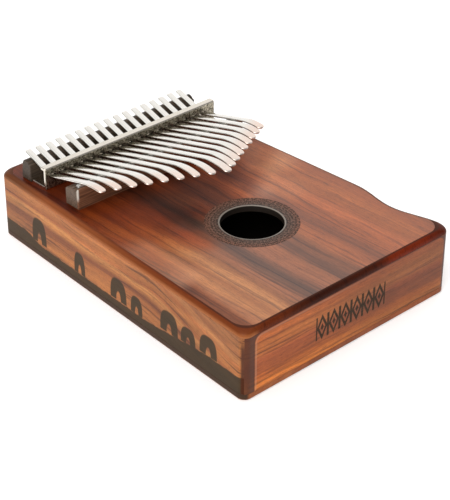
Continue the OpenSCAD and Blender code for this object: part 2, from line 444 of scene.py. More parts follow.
def grain(shader, along, across, depth, bands, contrast=1.0, wander=5.0):
    """Colour of figured wood: broad bands, streaks, fibres and pores that run along the grain."""
    s = shader
    axes = (along, across, depth)
    drift = s.marks((0.011, 0.05, 0.05), 2.0, axes=axes)
    ripple = s.marks((0.05, 0.2, 0.2), 2.0, axes=axes)
    small = wander / 4
    shift = s.add(s.between(drift, -wander, wander), s.between(ripple, -small, small))
    wavy = s.add(across, shift)
    colour = s.bands(wavy, bands)
    wavy_axes = (along, wavy, depth)
    streak = s.marks((0.012, 0.55, 0.3), 4.0, 0.6, wavy_axes)
    fibre = s.marks((0.06, 3.2, 3.2), 4.0, 0.7, wavy_axes)
    pore = s.marks((0.22, 5.5, 5.5), 1.0, axes=wavy_axes)
    figure = s.marks((0.11, 0.035, 0.035), 2.0, axes=axes)
    fleck = s.marks((0.9, 2.2, 2.2), 2.0, 0.6, axes)
    dark = s.mul(s.ramp(streak, 0.50, 0.69), min(0.72 * contrast, 1.0))
    gold = s.mul(s.ramp(streak, 0.47, 0.30), 0.40 * contrast)
    colour = s.tinted(dark, colour, DARK_STREAK)
    colour = s.tinted(gold, colour, GOLD_STREAK)
    tone = s.every(
        s.between(fibre, 0.54, 1.46),
        s.between(figure, 0.86, 1.14),
        s.between(s.ramp(pore, PORE_START, PORE_END), 1.0, 0.45),
        s.between(fleck, 0.72, 1.28),
    )
    return s.toned(colour, tone), fibre, pore


def finish_wood(shader, colour, fibre, pore, rough=0.36):
    """The surface of any wood: its colour, a sheen that follows the fibres, and fine pores."""
    s = shader
    s.colour(colour)
    s.roughness(s.between(fibre, rough - 0.06, rough + 0.08))
    s.bump(s.sub(fibre, s.mul(s.ramp(pore, PORE_START, PORE_END), 1.2)), 0.22, 0.05)
    return s.material


def burn(shader, mask, colour, fibre, cover, shine):
    """Burnt wood where mask is 1. cover is its strength, shine what it keeps of the wall's gloss."""
    s = shader
    s.specular(s.between(mask, WALL_SPECULAR, shine * WALL_SPECULAR))
    return s.mix(s.mul(mask, cover), colour, s.mix(fibre, BURNT, BURNT_LIGHT))


def from_left(shader):
    """Millimetres in from the left side of the box."""
    s = shader
    return s.sub(s.add(s.x, MIDDLE_HALF_W), s.mul(s.y, TAPER))


def past_tips(shader):
    """Millimetres behind the line that the tines' tips make."""
    s = shader
    slope = s.between(s.ramp(s.x, -0.5, 0.5), LEFT_STEP / TINE_PITCH, RIGHT_STEP / TINE_PITCH)
    return s.sub(s.y, s.add(LONGEST_TIP_Y, s.mul(s.size(s.x), slope)))


def painted_tine_shade_and_sheen(shader, colour):
    """Painted shade, a darker red, under the tines, and a painted sheen towards the player's right, which
    the tines' painted shadow stops.
    """
    s = shader
    shade = s.ramp(past_tips(s), -16.0, 0.0)
    sheen = s.mul(s.ramp(s.sub(s.y, s.mul(s.x, 0.9)), 30.0, -13.0), s.between(shade, 1.0, 0.25))
    sheen_gain = s.mix(s.ramp(s.x, -20.0, 25.0), SHEEN_GAIN_LEFT, SHEEN_GAIN_RIGHT)
    colour = s.multiply(colour, s.mix(sheen, PAINTED_TINE_SHADE, sheen_gain))
    return s.mix(sheen, colour, PAINTED_SHEEN, "ADD")


def edge_marks_and_glare(shader, colour):
    """A dark streak, a painted glare and a russet stretch, each along a part of the left edge."""
    s = shader
    inward = from_left(s)
    streak = s.every(s.ramp(inward, 10.5, 5.5), s.ramp(s.y, -42.0, -54.0))
    glare = s.every(s.ramp(inward, 19.0, 12.0), s.ramp(s.y, 2.0, -14.0), s.ramp(s.y, -52.0, -42.0))
    russet = s.every(s.ramp(s.y, -2.0, 20.0), s.ramp(inward, 27.0, 20.0))
    colour = s.tinted(streak, colour, EDGE_STREAK)
    colour = s.mix(glare, colour, PAINTED_GLARE, "ADD")
    return s.tinted(russet, colour, RUSSET)


def patched(shader, colour):
    """Soft round patches of darker and paler figure."""
    s = shader
    for x, y, reach, factor in TOP_PATCHES:
        away = s.hypot(s.sub(s.x, x), s.mul(s.sub(s.y, y), 0.8))
        colour = s.tinted(s.ramp(away, reach, 0.25 * reach), colour, factor)
    return colour


def make_top_wood():
    s = Shader("top_wood", specular=0.20)
    colour, fibre, pore = grain(s, s.y, s.x, s.z, TOP_BANDS, contrast=1.25, wander=4.0)
    colour = patched(s, edge_marks_and_glare(s, painted_tine_shade_and_sheen(s, colour)))
    # Painted shade on the soundboard between the bridges, under the tines
    bridge_shade = s.every(s.ramp(s.y, 28.0, 38.0), s.ramp(s.y, 92.0, 78.0), 0.75)
    return finish_wood(s, s.tinted(bridge_shade, colour, PAINTED_BRIDGE_SHADE), fibre, pore)


def arch(shader, middle, half, top, base):
    """A plain round-topped arch with a small doorway, drawn on the side wall. 1 inside."""
    s = shader
    reach = s.div(s.sub(s.y, middle), half)
    rise = s.div(s.sub(s.z, base), top - base)
    cubes = [s.math("POWER", s.size(value), 3.0) for value in (reach, rise)]
    outer = s.ramp(s.add(*cubes), 1.12, 0.86)
    doorway = s.ramp(s.hypot(s.mul(reach, 3.4), s.mul(rise, 2.3)), 0.80, 1.10)
    above = s.ramp(s.z, base - 0.3, base)
    return s.every(outer, doorway, above)


def burnt_frieze(shader):
    """The burnt ground line along the left wall and the plain arches that stand on it."""
    s = shader
    near = s.mul(s.ramp(s.y, -18.0, -72.0), 4.7)
    far = s.mul(s.ramp(s.y, 58.0, 74.0), 3.4)
    wobble = s.between(s.along_y(0.25), -0.8, 0.8)
    line = s.add(s.add(s.add(6.9, near), far), wobble)
    mask = s.ramp(s.sub(s.z, line), 0.35, -0.35)
    for middle, half, top, base in ARCHES:
        mask = s.high(mask, arch(s, middle, half, top, base))
    return mask


def make_side_wood(name, frieze):
    s = Shader(name, specular=WALL_SPECULAR)
    sweep = s.mul(s.ramp(s.y, -20.0, -98.0), 17.0)
    colour, fibre, pore = grain(s, s.y, s.add(s.z, sweep), s.x, SIDE_BANDS, contrast=1.6, wander=2.0)
    height = s.add(s.z, s.between(s.along_y(0.03), -1.5, 1.5))
    colour = s.multiply(colour, s.bands(height, SIDE_STRIPES))
    tone = s.sub(s.between(s.ramp(s.y, -70.0, 5.0), 0.86, 1.12), s.mul(s.ramp(s.y, 45.0, 85.0), 0.20))
    colour = s.multiply(colour, s.combine(*(s.mul(tone, gain) for gain in SIDE_GAIN)))
    if frieze:
        mask = s.mul(burnt_frieze(s), s.ramp(s.x, -40.0, -45.0))
        colour = burn(s, mask, colour, fibre, cover=0.96, shine=0.25)
    corner = s.high(s.ramp(s.y, Y_FRONT + 3.0, Y_FRONT + 1.9), s.ramp(s.y, Y_REAR - 3.0, Y_REAR - 1.9))
    corner = s.every(corner, s.ramp(s.z, RIM_TOP, RIM_TOP - 7.0), 0.92)
    colour = s.mix(corner, colour, s.mix(fibre, DARK_EDGE, DARK_EDGE_LIGHT))
    return finish_wood(s, colour, fibre, pore)


def ornament(shader):
    """A plain row of nested diamonds with upright strokes between them. 1 on the lines."""
    s = shader
    step, half_row, height, middle = 7.4, 22.2, 6.4, 17.8
    across = s.size(s.sub(s.math("FRACT", s.div(s.add(s.x, half_row), step)), 0.5))
    rise = s.div(s.size(s.sub(s.z, middle)), height)
    diamond = s.add(s.mul(across, 2.35), rise)
    outer = s.ramp(s.size(s.sub(diamond, 0.84)), 0.26, 0.18)
    inner = s.ramp(diamond, 0.36, 0.28)
    stroke = s.mul(s.ramp(across, 0.385, 0.42), s.ramp(rise, 1.0, 0.92))
    inside = s.mul(s.ramp(s.size(s.x), half_row + 0.3, half_row), s.ramp(rise, 1.12, 1.06))
    return s.mul(s.high(s.high(outer, inner), stroke), inside)


def past_panel(shader):
    """Millimetres outside the round-cornered panel of an end wall; negative inside it."""
    s = shader
    radius, left, right, top = 4.0, -59.4, 62.0, RIM_TOP - 0.6
    across = s.sub(s.size(s.sub(s.x, (left + right) / 2)), (right - left) / 2 - radius)
    up = s.sub(s.z, top - radius)
    return s.sub(s.hypot(s.high(across, 0.0), s.high(up, 0.0)), radius)


def make_end_wood(name, front):
    s = Shader(name, specular=WALL_SPECULAR)
    colour, fibre, pore = grain(s, s.x, s.z, s.y, END_BANDS, contrast=1.2, wander=2.6)
    gain = s.mix(s.ramp(s.x, -55.0, 30.0), END_GAIN_LEFT, END_GAIN_RIGHT)
    colour = s.multiply(colour, s.multiply(gain, s.bands(s.z, END_STRIPES)))
    if front:
        mark = s.mul(ornament(s), s.ramp(s.y, 0.0, -1.0))
        colour = burn(s, mark, colour, s.ramp(fibre, 0.35, 0.8), cover=0.95, shine=0.2)
    outside = past_panel(s)
    # A painted highlight just inside the panel's edge, stronger towards the left
    rim = s.every(s.ramp(s.size(s.add(outside, 0.55)), 0.75, 0.15), s.ramp(s.x, 40.0, -50.0), 0.38)
    colour = s.mix(rim, colour, PAINTED_PANEL_HIGHLIGHT)
    border = s.mul(s.ramp(outside, -0.3, 0.5), 0.92)
    colour = s.mix(border, colour, s.mix(fibre, DARK_EDGE, DARK_EDGE_LIGHT))
    return finish_wood(s, colour, fibre, pore)


def make_binding_wood():
    """Dark along the front of the box, and lighter low on the rounding everywhere else."""
    s = Shader("binding_wood", specular=0.09)
    colour, fibre, pore = grain(s, s.y, s.x, s.z, BINDING_BANDS, contrast=0.7)
    golden = s.toned(s.bands(s.z, ROUND_BANDS), s.between(fibre, 0.62, 1.38))
    golden = s.tinted(s.mul(s.ramp(s.z, 33.8, 35.4), s.ramp(s.y, -50.0, 30.0)), golden, ROUND_PALER)
    golden = s.tinted(s.ramp(s.y, 50.0, 82.0), golden, ROUND_FAR)
    side = s.high(s.ramp(s.y, Y_FRONT + 3.0, Y_FRONT + 8.0), s.ramp(s.x, -56.0, -61.0))
    colour = s.mix(side, colour, golden)
    joint = s.mul(s.ramp(s.z, DECK - 0.24, DECK - 0.06), s.between(s.ramp(s.y, -35.0, -60.0), 0.3, 0.8))
    return finish_wood(s, s.mix(joint, colour, JOINT_LINE), fibre, pore, rough=0.42)


def make_back_wood():
    """Reddish along its edge, and burnt along the left side like the ground line above it."""
    s = Shader("back_wood", specular=0.12)
    colour, fibre, pore = grain(s, s.y, s.x, s.z, TOP_BANDS, wander=6.0)
    edge = s.ramp(s.z, 0.1, 0.9)
    colour = s.mix(s.mul(edge, 0.6), colour, BACK_EDGE)
    left = s.every(s.ramp(from_left(s), 3.9, 2.1), edge, 0.94)
    burnt = s.multiply(s.mix(fibre, BURNT, BURNT_LIGHT), BACK_BURNT)
    return finish_wood(s, s.mix(left, colour, burnt), fibre, pore, rough=0.42)


def bridge_face_and_highlight(shader, colour):
    """A redder front face, and a painted highlight down the near left corner's upper half."""
    s = shader
    x, y = box_mm("front_bridge")[0][:2]
    colour = s.tinted(s.ramp(s.y, y + 1.0, y + 0.3), colour, BRIDGE_FACE)
    away = s.hypot(s.sub(s.x, x), s.sub(s.y, y))
    corner_highlight = s.mul(s.ramp(away, 1.1, 0.5), s.ramp(s.z, DECK + 3.5, DECK + 7.0))
    return s.mix(corner_highlight, colour, PAINTED_CORNER_HIGHLIGHT)


def make_plain_wood(name, dark, light, rough, specular, along="x", tint=None):
    s = Shader(name, roughness=rough, specular=specular)
    run, across = (s.x, s.y) if along == "x" else (s.y, s.x)
    fibre = s.marks((0.05, 2.0, 2.0), 4.0, 0.65, (run, across, s.z))
    pore = s.marks((0.25, 5.0, 5.0), 1.0, axes=(run, across, s.z))
    colour = s.mix(s.ramp(fibre, 0.3, 0.7), dark, light)
    return finish_wood(s, tint(s, colour) if tint else colour, fibre, pore, rough)


# ---- rosette and ring ----


def braid(shader, angle, radius):
    """Strands that cross each other as they run round the hole. 1 on a strand."""
    s = shader
    turns, slant = s.mul(angle, 66.0), s.mul(radius, 2.2)
    strands = [s.math("SINE", place) for place in (s.add(turns, slant), s.sub(turns, slant))]
    return s.ramp(s.mul(*strands), -0.1, 0.5)


def make_rosette():
    s = Shader("rosette_inlay", roughness=0.45, specular=0.16)
    dy = s.sub(s.y, HOLE_Y)
    radius, angle = s.hypot(s.x, dy), s.math("ARCTAN2", dy, s.x)
    off_middle = s.size(s.sub(radius, (RING_R + ROSETTE_R) / 2))
    braided = s.mul(braid(s, angle, radius), s.ramp(off_middle, 2.5, 2.2))
    colour = s.mix(braided, (0.030, 0.019, 0.015), (0.150, 0.098, 0.076))
    speck = s.noise(s.combine(s.mul(s.x, 0.95), s.mul(s.y, 0.95), 0.0), 3.0, 0.75)
    colour = s.mix(s.ramp(speck, 0.47, 0.60), colour, (0.190, 0.122, 0.094))
    colour = s.mix(s.ramp(speck, 0.42, 0.34), colour, (0.020, 0.013, 0.010))
    outward = s.ramp(radius, RING_R + 1.5, ROSETTE_R)
    colour = s.multiply(colour, s.mix(outward, (0.82, 0.72, 0.66), (1.16, 0.76, 0.60)))
    lines = s.mul(s.ramp(s.size(s.sub(off_middle, 2.65)), 0.22, 0.08), 0.2)
    colour = s.mix(lines, colour, (0.13, 0.09, 0.07))
    tooth = s.math("PINGPONG", s.mul(angle, ROSETTE_R), 0.62)
    rim = s.ramp(s.add(radius, s.mul(tooth, 0.75)), ROSETTE_R + 0.15, ROSETTE_R + 0.35)
    s.colour(s.mix(s.mul(rim, 0.75), colour, (0.17, 0.060, 0.032)))
    s.bump(braided, 0.15, 0.05)
    return s.material


def make_ring_inlay():
    """A pale lip, and near-black painted shade down the inside of the hole."""
    s = Shader("ring_inlay", specular=0.5)
    speck = s.marks((2.5, 2.5, 2.5), 3.0, 0.6)
    pale = s.mix(speck, (0.13, 0.105, 0.085), (0.30, 0.255, 0.21))
    radius = s.hypot(s.x, s.sub(s.y, HOLE_Y))
    lip = s.mul(s.ramp(s.z, DECK - 0.35, DECK - 0.15), s.ramp(radius, RING_R, RING_R - 0.3))
    s.colour(s.mix(lip, (0.016, 0.011, 0.008), pale))
    s.roughness(s.between(speck, 0.34, 0.48))
    return s.material


# ---- metals ----


def tine_reflections(shader, colour):
    """Painted reflections: the warm wood in the playing ends, and the dark web just in front of it where
    the tines leave it.
    """
    s = shader
    wood_reflection = s.mul(s.ramp(past_tips(s), 13.0, 3.0), s.ramp(s.z, 70.0, 50.0))
    mottle = s.noise(s.combine(s.mul(s.x, 0.9), s.mul(s.y, 0.9), 0.0), 3.0, 0.7)
    ahead = s.sub(BRACKET_Y + 0.4, s.y)
    web_reflection = s.every(s.ramp(ahead, 6.5, 1.0), s.ramp(ahead, 0.0, 0.4), s.between(mottle, 0.55, 1.05))
    return s.mix(web_reflection, s.tinted(wood_reflection, colour, PAINTED_WOOD_REFLECTION), PAINTED_WEB_REFLECTION_ON_TINES)


def make_steel(name, dark, light, rough, brushed, tint=None):
    """Steel with fine brushing along x or y, faint handling marks and a slightly uneven polish."""
    s = Shader(name, metallic=1.0)
    brush = s.marks((0.08, 7.0, 7.0) if brushed == "x" else (7.0, 0.08, 0.5), 3.0, 0.7)
    cloud = s.marks((0.16, 0.16, 0.16), 3.0, 0.6)
    colour = s.mix(cloud, dark, light)
    s.colour(tint(s, colour) if tint else colour)
    s.roughness(s.add(rough - 0.05, s.mul(s.add(brush, cloud), 0.06)))
    s.bump(brush, 0.05, 0.03)
    return s.material


def make_bracket_steel():
    """Bright pressed steel whose upright web is darker, with a mottled painted dark reflection."""
    s = Shader("bracket_steel", metallic=1.0)
    brush = s.marks((0.08, 7.0, 7.0), 3.0, 0.7)
    mottle = s.marks((0.95, 0.95, 1.1), 4.0, 0.75)
    bright = s.mix(brush, BRACKET_DARK, BRACKET_LIGHT)
    # The web's colour is a painted dark, mottled reflection
    dark = s.mix(s.ramp(mottle, 0.37, 0.64), PAINTED_WEB_REFLECTION_DARK, PAINTED_WEB_REFLECTION_LIGHT)
    top = DECK + BRACKET_H
    web = s.mul(s.ramp(s.y, BRACKET_Y + 0.45, BRACKET_Y + 0.1), s.ramp(s.z, top - 0.35, top - 0.9))
    s.colour(s.mix(web, bright, dark))
    s.roughness(s.add(s.mul(web, 0.26), s.between(brush, 0.14, 0.22)))
    s.bump(s.add(brush, s.every(mottle, web, 4.0)), 0.2, 0.04)
    return s.material


# Dark and light colour, roughness, specular, grain direction and tint
PLAIN_WOODS = {
    # The inside's near-black colour is painted shade of the box's inside
    "inside_wood": ((0.006, 0.004, 0.003), (0.014, 0.009, 0.006), 0.85, 0.1, "y"),
    "block_wood": ((0.30, 0.17, 0.08), (0.46, 0.29, 0.15), 0.7, 0.2),
    "bridge_wood": ((0.050, 0.031, 0.020), (0.170, 0.108, 0.072), 0.40, 0.3, "x", bridge_face_and_highlight),
    "rear_bridge_wood": ((0.022, 0.015, 0.010), (0.085, 0.058, 0.040), 0.42, 0.25),
}

# Dark and light colour, roughness, brushing direction and tint
STEELS = {
    "rod_steel": ((0.40, 0.39, 0.37), (0.56, 0.55, 0.52), 0.30, "x"),
    "screw_steel": ((0.42, 0.41, 0.39), (0.58, 0.57, 0.55), 0.25, "x"),
    "tine_steel": ((0.84, 0.81, 0.76), (0.94, 0.91, 0.85), 0.13, "y", tine_reflections),
}

MATERIALS = {
    "top_wood": make_top_wood(),
    "left_wood": make_side_wood("left_wood", frieze=True),
    "right_wood": make_side_wood("right_wood", frieze=False),
    "front_wood": make_end_wood("front_wood", front=True),
    "rear_wood": make_end_wood("rear_wood", front=False),
    "binding_wood": make_binding_wood(),
    "back_wood": make_back_wood(),
    "rosette_inlay": make_rosette(),
    "ring_inlay": make_ring_inlay(),
    "bracket_steel": make_bracket_steel(),
    **{name: make_plain_wood(name, *looks) for name, looks in PLAIN_WOODS.items()},
    **{name: make_steel(name, *looks) for name, looks in STEELS.items()},
}

# ---- mesh building ----


def make_object(name, points, faces, materials, pick=None, sharp_deg=SHARP_DEG):
    """A mesh object from points in millimetres. pick gives a face's material number from its normal."""
    mesh = bpy.data.meshes.new(name)
    mesh.from_pydata([tuple(v * MM for v in p) for p in points], [], faces)
    mesh.validate()
    for material in materials:
        mesh.materials.append(MATERIALS[material])
    obj = bpy.data.objects.new(name, mesh)
    bpy.context.scene.collection.objects.link(obj)
    mesh.shade_smooth()
    mesh.set_sharp_from_angle(angle=math.radians(sharp_deg))
    if pick:
        for polygon in mesh.polygons:
            polygon.material_index = pick(polygon.normal)
    return obj


def stand_for(obj, node, slot):
    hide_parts(node)
    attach(obj, BODY)


def add_piece(name, node, shape, material, slot=None):
    """A piece of one material that stands for a CAD node. shape is its points and faces."""
    stand_for(make_object(name, *shape, (material,)), node, slot or material)


def loft(rings, closed=False):
    """Skins rings of points: an open loft is capped, and a closed one joins its last ring to its first."""
    count = len(rings[0])
    points = [p for ring in rings for p in ring]
    faces = []
    pairs = len(rings) if closed else len(rings) - 1
    for k in range(pairs):
        a, b = k * count, (k + 1) % len(rings) * count
        for i in range(count):
            j = (i + 1) % count
            faces.append((a + i, a + j, b + j, b + i))
    if not closed:
        faces.append(tuple(reversed(range(count))))
        faces.append(tuple(range((len(rings) - 1) * count, len(points))))
    return points, faces


def joined(shapes):
    """Several shapes as one."""
    points, faces = [], []
    for more, quads in shapes:
        faces += [tuple(k + len(points) for k in face) for face in quads]
        points += more
    return points, faces


def inset_polygon(points, distance):
    """The anticlockwise outline moved in by distance, with mitred corners."""
    result = []
    count = len(points)
    for i in range(count):
        before, here, after = (Vector(points[(i + k) % count]) for k in (-1, 0, 1))
        a, b = (here - before).normalized(), (after - here).normalized()
        normal_a, normal_b = Vector((-a.y, a.x)), Vector((-b.y, b.x))
        mitre = normal_a + normal_b
        mitre *= distance / max(mitre.length_squared / 2, 0.3)
        result.append((here.x + mitre.x, here.y + mitre.y))
    return result


def prism_z(outline, z0, z1, edge):
    """An upright block with the given plan and slightly eased top and bottom edges."""
    small = inset_polygon(outline, edge)
    levels = ((small, z0), (outline, z0 + edge), (outline, z1 - edge), (small, z1))
    return loft([[(x, y, z) for x, y in ring] for ring, z in levels])


def bar_x(profile, x0, x1, edge):
    """A bar along X with the given outline in Y and Z and slightly eased ends."""
    small = inset_polygon(profile, edge)
    levels = ((small, x0), (profile, x0 + edge), (profile, x1 - edge), (small, x1))
    return loft([[(x, y, z) for y, z in ring] for ring, x in levels])


def arc(cy, cz, radius, start_deg, end_deg, steps):
    angles = [math.radians(angle) for angle in spread(start_deg, end_deg, steps)]
    return [(cy + radius * math.cos(a), cz + radius * math.sin(a)) for a in angles]


def lathe(profile, steps, place):
    """Turns a closed anticlockwise (radius, height) outline round an axis.

    place maps (a, b, height) to a point.
    """
    rings = []
    for k in range(steps):
        angle = -2 * math.pi * k / steps
        rings.append([place(r * math.cos(angle), r * math.sin(angle), h) for r, h in profile])
    return loft(rings, closed=True)


def capped_lathe(profile, steps, place):
    """Turns an open (radius, height) outline round an axis and closes both ends flat."""
    angles = [2 * math.pi * k / steps for k in range(steps)]
    return loft([[place(r * math.cos(a), r * math.sin(a), h) for a in angles] for r, h in profile])


def spread(start, end, steps):
    return [start + (end - start) * k / steps for k in range(steps + 1)]


# ---- the plan of the box ----


def half_w(y):
    return (FRONT_W + (REAR_W - FRONT_W) * (y - Y_FRONT) / BODY_LEN) / 2


def scallop(y):
    """Depth of the finger hollow in the right wall."""
    t = (y - SCALLOP_Y) / SCALLOP_HALF
    return SCALLOP_DEPTH * (1 + math.cos(math.pi * t)) / 2 if abs(t) < 1 else 0.0


def right_edge(inset, y0, y1):
    return [(half_w(y) - scallop(y) - inset, y) for y in spread(y0, y1, 96)]


def left_edge(inset, y0, y1):
    return [(-half_w(y) + inset, y) for y in spread(y1, y0, 24)]


def box_outline(inset, radius=CORNER_R):
    y0, y1 = Y_FRONT + inset + radius, Y_REAR - inset - radius
    x0, x1 = half_w(y0) - inset - radius, half_w(y1) - inset - radius
    return (
        arc(-x0, y0, radius, 180, 270, 12)
        + arc(x0 - scallop(y0), y0, radius, 270, 360, 12)
        + right_edge(inset, y0, y1)[1:-1]
        + arc(x1, y1, radius, 0, 90, 12)
        + arc(-x1, y1, radius, 90, 180, 12)
        + left_edge(inset, y0, y1)[1:-1]
    )


def left_wall_outline():
    y0, y1 = Y_FRONT + CORNER_R, Y_REAR - CORNER_R
    x0, x1 = half_w(y0) - CORNER_R, half_w(y1) - CORNER_R
    return (
        arc(-x0, y0, CORNER_R, 180, 270, 12)
        + [(-half_w(Y_FRONT) + WALL_T, Y_FRONT)]
        + [(-half_w(Y_REAR) + WALL_T, Y_REAR)]
        + arc(-x1, y1, CORNER_R, 90, 180, 12)
        + left_edge(0.0, y0, y1)[1:-1]
    )


def right_wall_outline():
    y0, y1 = Y_FRONT + CORNER_R, Y_REAR - CORNER_R
    x0, x1 = half_w(y0) - CORNER_R, half_w(y1) - CORNER_R
    return (
        [(half_w(Y_FRONT) - WALL_T, Y_FRONT)]
        + arc(x0, y0, CORNER_R, 270, 360, 12)
        + right_edge(0.0, y0, y1)[1:-1]
        + arc(x1, y1, CORNER_R, 0, 90, 12)
        + [(half_w(Y_REAR) - WALL_T, Y_REAR)]
        + right_edge(WALL_T, Y_FRONT, Y_REAR)[-2:0:-1]
    )


def end_wall_outline(y0, y1):
    x0, x1 = half_w(y0) - WALL_T, half_w(y1) - WALL_T
    return [(-x0, y0), (x0, y0), (x1, y1), (-x1, y1)]


# ---- the box ----


def wall_pick(axis, sign):
    """Picks out a wall's inner face, and a side wall's front face, which has the front's wood."""

    def pick(normal):
        if axis == 0 and normal.y < -0.72:
            return 1
        return 2 if normal[axis] * sign < -0.5 and abs(normal.z) < 0.5 else 0

    return pick


def build_walls():
    front = end_wall_outline(Y_FRONT, Y_FRONT + WALL_T)
    rear = end_wall_outline(Y_REAR - WALL_T, Y_REAR)
    walls = (
        ("left_side", left_wall_outline(), "left_wood", wall_pick(0, -1), "side_wood"),
        ("right_side", right_wall_outline(), "right_wood", wall_pick(0, 1), "side_wood"),
        ("front_end", front, "front_wood", wall_pick(1, -1), "end_wood"),
        ("rear_end", rear, "rear_wood", wall_pick(1, 1), "end_wood"),
    )
    for node, outline, wood, pick, slot in walls:
        shape = prism_z(outline, RIM_BASE, RIM_TOP, EASE)
        obj = make_object("wall_" + node, *shape, (wood, "front_wood", "inside_wood"), pick)
        stand_for(obj, node, slot)


def build_back():
    """The back board, with its lower edge rounded over."""
    radius = 0.7
    turns = spread(0.0, math.pi / 2, 5)
    levels = [(radius - radius * math.sin(a), radius - radius * math.cos(a)) for a in turns]
    levels += [(0.0, RIM_BASE - EASE), (EASE, RIM_BASE)]
    rings = [[(x, y, z) for x, y in box_outline(inset, CORNER_R - inset)] for inset, z in levels]

    def pick(normal):
        return 1 if normal.z > 0.8 else 0

    obj = make_object("back_board_rounded", *loft(rings), ("back_wood", "inside_wood"), pick)
    stand_for(obj, "back_board", "back_wood")


def build_binding():
    """The dark binding, rounded over along its outer edge."""
    flat, width = 0.25, BINDING_W * 0.94
    rise = DECK - RIM_TOP - flat
    section = [(BINDING_W, RIM_TOP), (EASE, RIM_TOP), (0.0, RIM_TOP + EASE)]
    for a in spread(0.0, math.pi / 2, 8):
        section.append((width * (1 - math.cos(a)), RIM_TOP + flat + rise * math.sin(a)))
    section.append((BINDING_W, DECK))
    widen = (DECK_CORNER_R - CORNER_R) / BINDING_W
    rings = [[(x, y, z) for x, y in box_outline(inset, CORNER_R + widen * inset)] for inset, z in section]
    add_piece("edge_binding_rounded", "edge_binding", loft(rings, closed=True), "binding_wood")


def build_hole_ring():
    lip = 0.35
    profile = [(HOLE_R, RIM_TOP), (RING_R, RIM_TOP), (RING_R, DECK), (RING_R - 0.2, DECK)]
    profile += arc(HOLE_R + lip, DECK - lip, lip, 90, 180, 4)
    shape = lathe(profile, 96, lambda a, b, h: (a, HOLE_Y + b, h))
    add_piece("hole_ring", "sound_hole_ring", shape, "ring_inlay")


def dress_nodes():
    """CAD nodes whose shape is already right get their finish."""
    finishes = (("soundboard", "top_wood"), ("rosette", "rosette_inlay"), ("key_block", "block_wood"))
    for node, material in finishes:
        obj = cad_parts[node]
        if not obj.material_slots:
            obj.data.materials.append(MATERIALS[material])
        for place in obj.material_slots:
            place.material = MATERIALS[material]


# ---- bridges, rod, bracket and screws ----


def line_z(y):
    """Height of the middle of a tine's straight parts."""
    slope = math.tan(RISE) if y < VERTEX_Y else -math.tan(TAIL)
    return VERTEX_Z + (VERTEX_Y - y) * slope


ROD_Z = line_z(ROD_Y) - (TINE_T / 2 + ROD_R + ROD_GAP) / math.cos(RISE)


def build_front_bridge():
    """The front bridge, with a groove for the rod."""
    low, high = box_mm("front_bridge")
    y0, y1, near, far = low[1], high[1], 0.7, 0.9
    profile = [(y0, DECK), (y1, DECK)]
    profile += arc(y1 - far, DECK + 8.1, far, 0, 70, 4)
    profile += arc(ROD_Y, ROD_Z, ROD_R + 0.05, -13, -193, 14)
    profile += arc(y0 + near, DECK + 10.1, near, 100, 180, 4)
    shape = bar_x(profile, -BRIDGE_LEN / 2, BRIDGE_LEN / 2, 0.45)
    add_piece("front_bridge_shaped", "front_bridge", shape, "bridge_wood")


def build_rod():
    half = ROD_LEN / 2
    profile = [(ROD_R - 0.35, -half), (ROD_R - 0.1, -half + 0.08), (ROD_R, -half + 0.35)]
    profile += [(r, -h) for r, h in reversed(profile)]
    shape = capped_lathe(profile, 32, lambda a, b, h: (h, ROD_Y + a, ROD_Z + b))
    add_piece("rod", "front_rod", shape, "rod_steel")


def build_rear_bridge():
    """The rear bridge, with a round ridge that the tines' tails rest on."""
    low, high = box_mm("rear_bridge")
    y0, y1, top, ridge = low[1], high[1], high[2], 2.6
    profile = [(y0, DECK), (y1, DECK), (y1, top - 5.8)]
    profile += arc(y1 - 3.2, top - ridge, ridge, 10, 150, 12)
    profile += [(y0 + 0.3, top - ridge + 0.9), (y0, top - ridge + 0.4)]
    shape = bar_x(profile, -BRIDGE_LEN / 2, BRIDGE_LEN / 2, 0.3)
    add_piece("rear_bridge_shaped", "rear_bridge", shape, "rear_bridge_wood", slot="bridge_wood")


def bracket_profile():
    """The bracket's section: a foot flange, the upright web and a short top flange."""
    y0, z0, z1, t = BRACKET_Y, DECK, DECK + BRACKET_H, SHEET
    foot, flange = y0 + 11.2, y0 + 3.6
    outer, inner, nose = 0.8, 0.25, 0.3
    return (
        arc(y0 + outer, z0 + outer, outer, 180, 270, 8)
        + arc(foot - nose, z0 + nose, nose, 270, 360, 3)
        + arc(foot - nose, z0 + t - nose, nose, 0, 90, 3)
        + arc(y0 + t + inner, z0 + t + inner, inner, 270, 180, 4)
        + arc(y0 + t + inner, z1 - t - inner, inner, 180, 90, 4)
        + arc(flange - nose, z1 - t + nose, nose, 270, 360, 3)
        + arc(flange - nose, z1 - nose, nose, 0, 90, 3)
        + arc(y0 + outer, z1 - outer, outer, 90, 180, 8)
    )


def slot_shape(x):
    """One round-ended slot, as a shape to cut away."""
    y0, y1 = BRACKET_Y - 1, BRACKET_Y + SHEET + 0.3
    z0, z1, half, r = VERTEX_Z - 0.7, VERTEX_Z + 1.15, SLOT_W / 2, 0.85
    outline = (
        arc(x - half + r, z0 + r, r, 180, 270, 5)
        + arc(x + half - r, z0 + r, r, 270, 360, 5)
        + arc(x + half - r, z1 - r, r, 0, 90, 5)
        + arc(x - half + r, z1 - r, r, 90, 180, 5)
    )
    return loft([[(a, y, b) for a, b in outline] for y in (y1, y0)])


